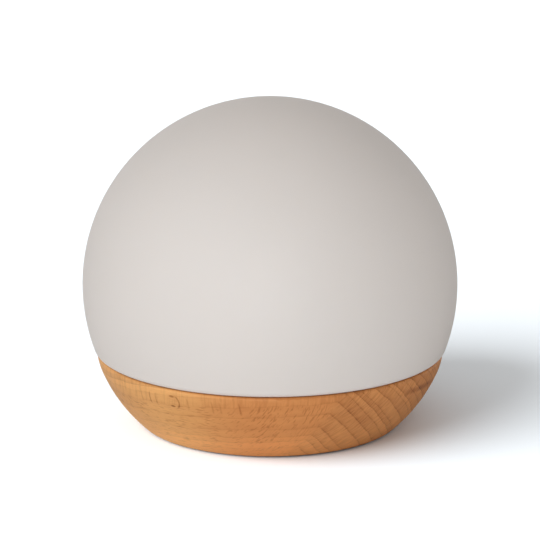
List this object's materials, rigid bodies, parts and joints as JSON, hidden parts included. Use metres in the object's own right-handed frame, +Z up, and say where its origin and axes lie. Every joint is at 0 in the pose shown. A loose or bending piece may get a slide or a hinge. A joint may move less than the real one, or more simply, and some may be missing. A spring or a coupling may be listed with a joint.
{
  "type": "globe table lamp",
  "caption": "Cordless table lamp: a satin opal glass globe standing in a shallow turned beech bowl, with a push button and a charging socket at the back",
  "frame": {"origin": "centre of the foot ring's underside, on the table", "axes": "+Z up along the axis of the globe and the bowl; the front faces -Y and the charging socket faces +Y"},
  "size_m": [0.15, 0.15, 0.1311],
  "materials": {
    "opal_glass": "satin etched opal",
    "beech": "oiled satin",
    "black_rubber": "matte",
    "powder_coated_steel": "black powder coat",
    "zinc_steel": "zinc plated",
    "white_abs": "moulded, fine texture",
    "black_abs": "moulded, fine texture",
    "silicone": "translucent white",
    "spring_steel": "cold rolled",
    "satin_aluminium": "bead blasted and anodised",
    "white_board": "white solder mask",
    "led_phosphor": "phosphor gel",
    "frosted_polycarbonate": "frosted milky",
    "green_board": "green solder mask",
    "black_epoxy": "moulded epoxy",
    "white_nylon": "moulded",
    "cell_wrap": "shrink sleeve",
    "nickel": "nickel strip",
    "brass": "turned",
    "red_pvc": "extruded",
    "black_pvc": "extruded",
    "grey_button": "fine texture"
  },
  "bodies": {
    "lamp_base": {"base_plate": "powder_coated_steel", "battery_cell_front": "cell_wrap", "battery_cell_rear": "cell_wrap", "battery_lead_black": "black_pvc", "battery_lead_red": "red_pvc", "battery_strap": "spring_steel", "battery_tabs": "nickel", "battery_tray": "black_abs", "board_connectors": "white_nylon", "board_parts": "black_epoxy", "board_screws": "zinc_steel", "brass_inserts": "brass", "chassis": "white_abs", "chassis_screws": "zinc_steel", "control_board": "green_board", "foot_pad": "black_rubber", "globe_seat_ring": "silicone", "globe_springs": "spring_steel", "heat_spreader": "satin_aluminium", "led_board": "white_board", "led_chips": "led_phosphor", "led_connector": "white_nylon", "led_cover": "frosted_polycarbonate", "led_lead_black": "black_pvc", "led_lead_red": "red_pvc", "led_screws": "zinc_steel", "plate_screws": "zinc_steel", "port_bezel": "satin_aluminium", "port_board": "green_board", "port_housing": "black_abs", "port_leads": "black_pvc", "spring_rivets": "zinc_steel", "switch_body": "black_epoxy", "tray_screws": "zinc_steel", "usb_shell": "spring_steel", "usb_tongue": "black_epoxy", "wood_base": "beech"},
    "globe": {"glass_globe": "opal_glass"},
    "button": {"button_cap": "grey_button", "switch_plunger": "white_nylon"}
  },
  "joints": [
    {"name": "globe_lift", "type": "slide", "parent": "lamp_base", "child": "globe", "axis": [0, 0, 1], "range_m": [0, 0.06]},
    {"name": "button_press", "type": "slide", "parent": "lamp_base", "child": "button", "axis": [0, -1, 0], "range_m": [0, 0.0008], "stiffness_N_per_m": 2000}
  ]
}
